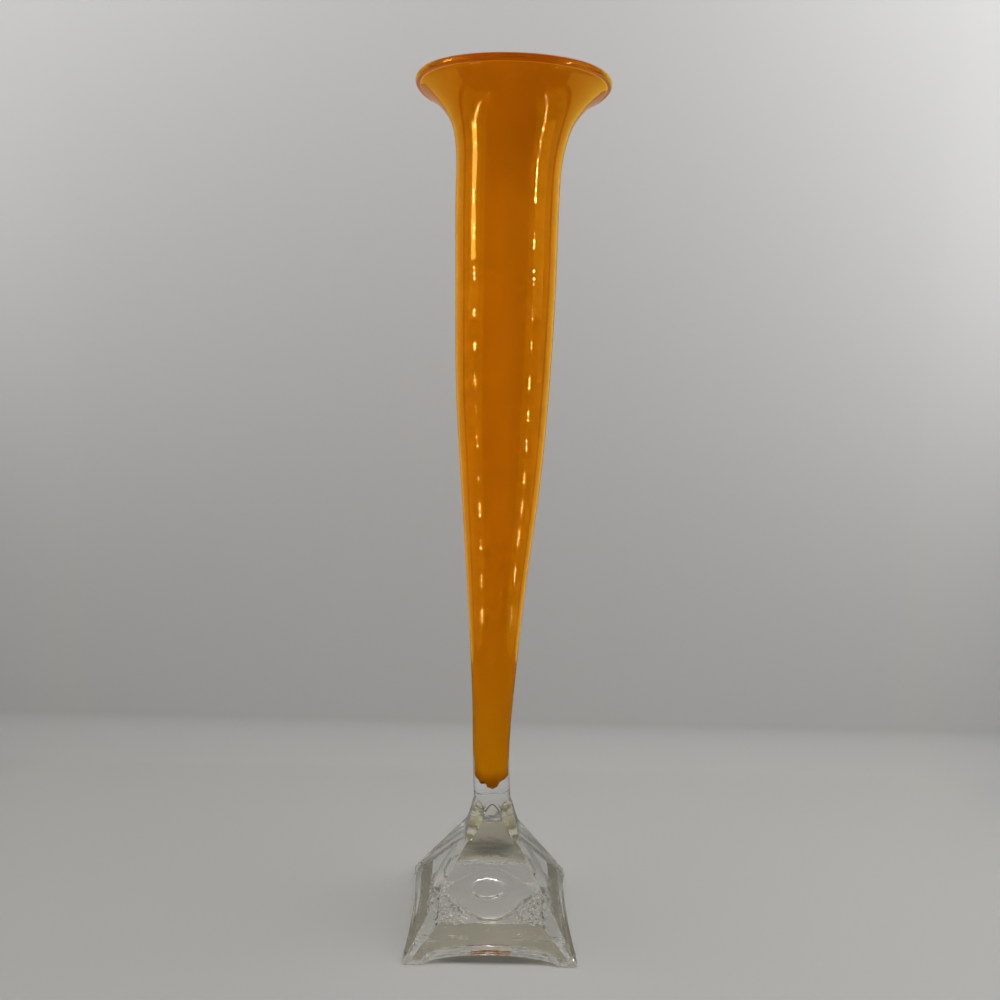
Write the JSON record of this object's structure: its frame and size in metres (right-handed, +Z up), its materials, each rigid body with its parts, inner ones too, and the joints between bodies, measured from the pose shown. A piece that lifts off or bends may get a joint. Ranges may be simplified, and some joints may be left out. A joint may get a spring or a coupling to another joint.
{
  "type": "trumpet vase",
  "caption": "Tall slender trumpet vase in cased glass: opaque orange inside a clear layer, flared round rim, clear pressed pyramid foot with arches round its neck.",
  "frame": {"origin": "middle of the square base, on the surface that the vase stands on", "axes": "+Z up along the vase's axis, +X and +Y square to the sides of the foot"},
  "size_m": [0.0972, 0.0972, 0.45],
  "materials": {
    "orange_glass": "opaque orange glass under a clear layer, glossy",
    "clear_casing_glass": "clear fire-polished glass",
    "pressed_glass": "clear pressed glass with soft mould edges"
  },
  "bodies": {
    "root": {"orange_lining": "orange_glass", "clear_casing": "clear_casing_glass", "pressed_foot": "pressed_glass"}
  },
  "joints": []
}
